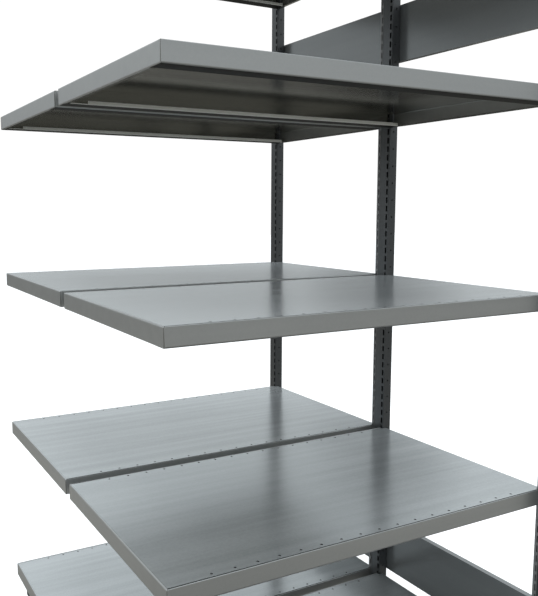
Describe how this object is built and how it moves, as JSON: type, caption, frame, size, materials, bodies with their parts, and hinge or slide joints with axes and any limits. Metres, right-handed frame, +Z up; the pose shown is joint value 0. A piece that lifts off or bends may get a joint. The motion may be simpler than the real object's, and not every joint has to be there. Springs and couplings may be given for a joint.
{
  "type": "cantilever rack",
  "caption": "Free-standing cantilever rack: slotted steel posts carry deep folded-sheet shelves that reach out to one side, tied together by flat spreader panels.",
  "frame": {"origin": "on the floor, under the middle of the rack box", "axes": "+Z up, -X towards the aisle where the shelves reach out, +X towards the back, Y along the run of bays (bay a at -Y, bay b at +Y)"},
  "size_m": [1.06, 1.378, 2.1294],
  "materials": {
    "deck_sheet": "satin clear-lacquered steel with faint brushing along the shelf depth",
    "arm_sheet": "satin warm-grey painted steel",
    "post_steel": "satin graphite powder coat",
    "channel_steel": "satin graphite powder coat",
    "panel_steel": "semi-gloss graphite paint",
    "fastener_zinc": "zinc plate",
    "black_plastic": "matt moulded plastic",
    "foot_black": "matt black"
  },
  "bodies": {
    "frame": {"post_near": "post_steel", "post_mid": "post_steel", "post_far": "post_steel", "channel_near": "channel_steel", "channel_mid": "channel_steel", "post_cap_near": "black_plastic", "post_cap_mid": "black_plastic", "post_cap_far": "black_plastic", "floor_plate_near": "post_steel", "floor_plate_mid": "post_steel", "floor_plate_far": "post_steel", "base_leg_near": "post_steel", "base_leg_mid": "post_steel", "base_leg_far": "post_steel", "spreader_lower_a": "panel_steel", "spreader_lower_b": "panel_steel", "spreader_upper_a": "panel_steel", "spreader_upper_b": "panel_steel", "panel_bolts": "fastener_zinc", "channel_bolts": "fastener_zinc", "base_bolts": "fastener_zinc", "leg_end_caps": "black_plastic", "foot_locknuts": "fastener_zinc"},
    "shelf_a1": {"deck_a1": "deck_sheet", "arm_a1_near": "arm_sheet", "arm_a1_far": "arm_sheet"},
    "shelf_a2": {"deck_a2": "deck_sheet", "arm_a2_near": "arm_sheet", "arm_a2_far": "arm_sheet"},
    "shelf_a3": {"deck_a3": "deck_sheet", "arm_a3_near": "arm_sheet", "arm_a3_far": "arm_sheet"},
    "shelf_a4": {"deck_a4": "deck_sheet", "arm_a4_near": "arm_sheet", "arm_a4_far": "arm_sheet"},
    "shelf_a5": {"deck_a5": "deck_sheet", "arm_a5_near": "arm_sheet", "arm_a5_far": "arm_sheet"},
    "shelf_b1": {"deck_b1": "deck_sheet", "arm_b1_near": "arm_sheet", "arm_b1_far": "arm_sheet"},
    "shelf_b2": {"deck_b2": "deck_sheet", "arm_b2_near": "arm_sheet", "arm_b2_far": "arm_sheet"},
    "shelf_b3": {"deck_b3": "deck_sheet", "arm_b3_near": "arm_sheet", "arm_b3_far": "arm_sheet"},
    "shelf_b4": {"deck_b4": "deck_sheet", "arm_b4_near": "arm_sheet", "arm_b4_far": "arm_sheet"},
    "shelf_b5": {"deck_b5": "deck_sheet", "arm_b5_near": "arm_sheet", "arm_b5_far": "arm_sheet"},
    "foot_near_front": {"foot_near_front": "foot_black"},
    "foot_near_rear": {"foot_near_rear": "foot_black"},
    "foot_mid_front": {"foot_mid_front": "foot_black"},
    "foot_mid_rear": {"foot_mid_rear": "foot_black"},
    "foot_far_front": {"foot_far_front": "foot_black"},
    "foot_far_rear": {"foot_far_rear": "foot_black"}
  },
  "joints": [
    {"name": "shelf_a1_lift", "type": "slide", "parent": "frame", "child": "shelf_a1", "axis": [0, 0, 1], "range_m": [0, 0.008]},
    {"name": "shelf_a2_lift", "type": "slide", "parent": "frame", "child": "shelf_a2", "axis": [0, 0, 1], "range_m": [0, 0.008]},
    {"name": "shelf_a3_lift", "type": "slide", "parent": "frame", "child": "shelf_a3", "axis": [0, 0, 1], "range_m": [0, 0.008]},
    {"name": "shelf_a4_lift", "type": "slide", "parent": "frame", "child": "shelf_a4", "axis": [0, 0, 1], "range_m": [0, 0.008]},
    {"name": "shelf_a5_lift", "type": "slide", "parent": "frame", "child": "shelf_a5", "axis": [0, 0, 1], "range_m": [0, 0.008]},
    {"name": "shelf_b1_lift", "type": "slide", "parent": "frame", "child": "shelf_b1", "axis": [0, 0, 1], "range_m": [0, 0.008]},
    {"name": "shelf_b2_lift", "type": "slide", "parent": "frame", "child": "shelf_b2", "axis": [0, 0, 1], "range_m": [0, 0.008]},
    {"name": "shelf_b3_lift", "type": "slide", "parent": "frame", "child": "shelf_b3", "axis": [0, 0, 1], "range_m": [0, 0.008]},
    {"name": "shelf_b4_lift", "type": "slide", "parent": "frame", "child": "shelf_b4", "axis": [0, 0, 1], "range_m": [0, 0.008]},
    {"name": "shelf_b5_lift", "type": "slide", "parent": "frame", "child": "shelf_b5", "axis": [0, 0, 1], "range_m": [0, 0.008]},
    {"name": "foot_near_front_turn", "type": "hinge", "parent": "frame", "child": "foot_near_front", "pos_m": [-0.42, -0.634, 0.02], "axis": [0, 0, 1], "continuous": true},
    {"name": "foot_near_rear_turn", "type": "hinge", "parent": "frame", "child": "foot_near_rear", "pos_m": [0.4, -0.634, 0.02], "axis": [0, 0, 1], "continuous": true},
    {"name": "foot_mid_front_turn", "type": "hinge", "parent": "frame", "child": "foot_mid_front", "pos_m": [-0.42, 0, 0.02], "axis": [0, 0, 1], "continuous": true},
    {"name": "foot_mid_rear_turn", "type": "hinge", "parent": "frame", "child": "foot_mid_rear", "pos_m": [0.4, 0, 0.02], "axis": [0, 0, 1], "continuous": true},
    {"name": "foot_far_front_turn", "type": "hinge", "parent": "frame", "child": "foot_far_front", "pos_m": [-0.42, 0.634, 0.02], "axis": [0, 0, 1], "continuous": true},
    {"name": "foot_far_rear_turn", "type": "hinge", "parent": "frame", "child": "foot_far_rear", "pos_m": [0.4, 0.634, 0.02], "axis": [0, 0, 1], "continuous": true}
  ]
}
